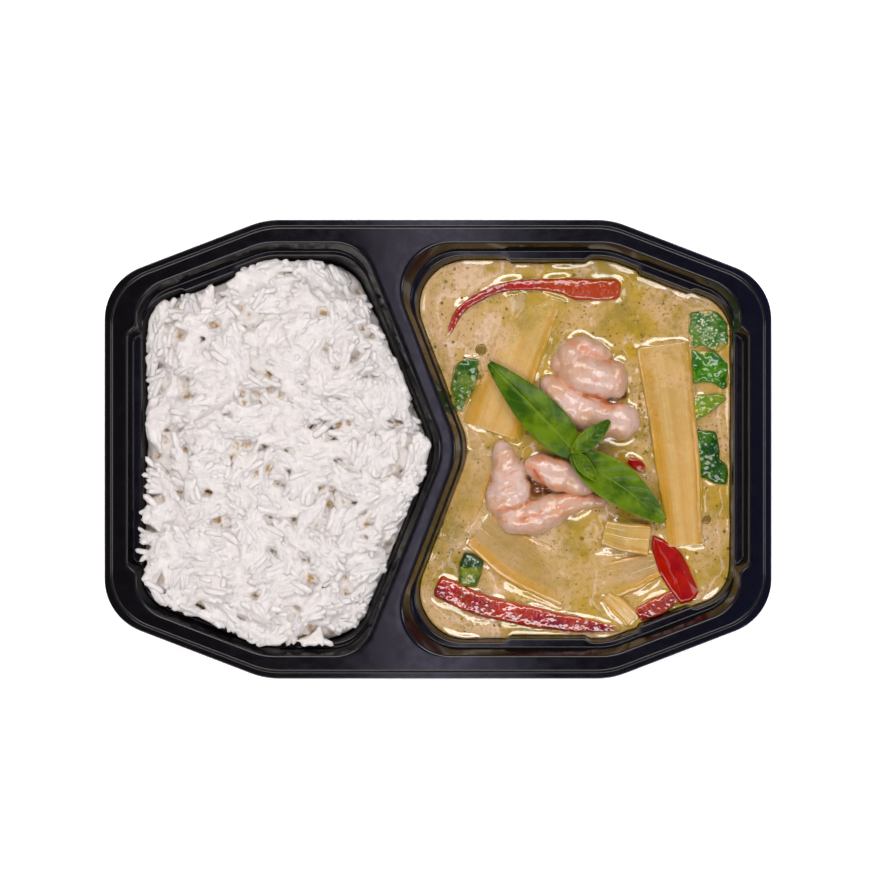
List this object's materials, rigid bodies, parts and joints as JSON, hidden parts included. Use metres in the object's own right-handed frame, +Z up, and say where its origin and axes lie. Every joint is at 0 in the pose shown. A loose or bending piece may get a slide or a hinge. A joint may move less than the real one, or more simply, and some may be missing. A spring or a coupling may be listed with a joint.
{
  "type": "thai green curry with rice in a tray",
  "caption": "Green curry with prawns, bamboo, peppers and basil beside white rice, in an open two-well tray.",
  "frame": {"origin": "under the middle of the tray, on the surface it rests on", "axes": "+X along the tray's length towards the curry, +Y across it, +Z up"},
  "size_m": [0.25, 0.172, 0.0438],
  "materials": {
    "tray_plastic": "black satin thermoformed plastic",
    "rice": "moist white cooked rice",
    "curry_sauce": "creamy coconut curry with a wet sheen",
    "prawn": "moist cooked prawn, pink on white",
    "bamboo": "moist pale yellow bamboo shoot",
    "red_pepper": "glossy wet red pepper skin",
    "green_leaf": "wet cooked green leaf and pod",
    "basil_leaf": "fresh basil leaf, soft sheen"
  },
  "bodies": {
    "root": {"tray": "tray_plastic", "rice": "rice", "curry_sauce": "curry_sauce", "basil_sprig": "basil_leaf", "green_pod": "green_leaf", "prawn_1": "prawn", "prawn_2": "prawn", "prawn_3": "prawn", "bamboo_1": "bamboo", "bamboo_2": "bamboo", "bamboo_3": "bamboo", "bamboo_4": "bamboo", "bamboo_5": "bamboo", "bamboo_6": "bamboo", "bamboo_7": "bamboo", "red_pepper_1": "red_pepper", "red_pepper_2": "red_pepper", "red_pepper_3": "red_pepper", "red_pepper_4": "red_pepper", "red_pepper_5": "red_pepper", "green_leaf_1": "green_leaf", "green_leaf_2": "green_leaf", "green_leaf_3": "green_leaf", "green_leaf_4": "green_leaf", "green_leaf_5": "green_leaf"}
  },
  "joints": []
}
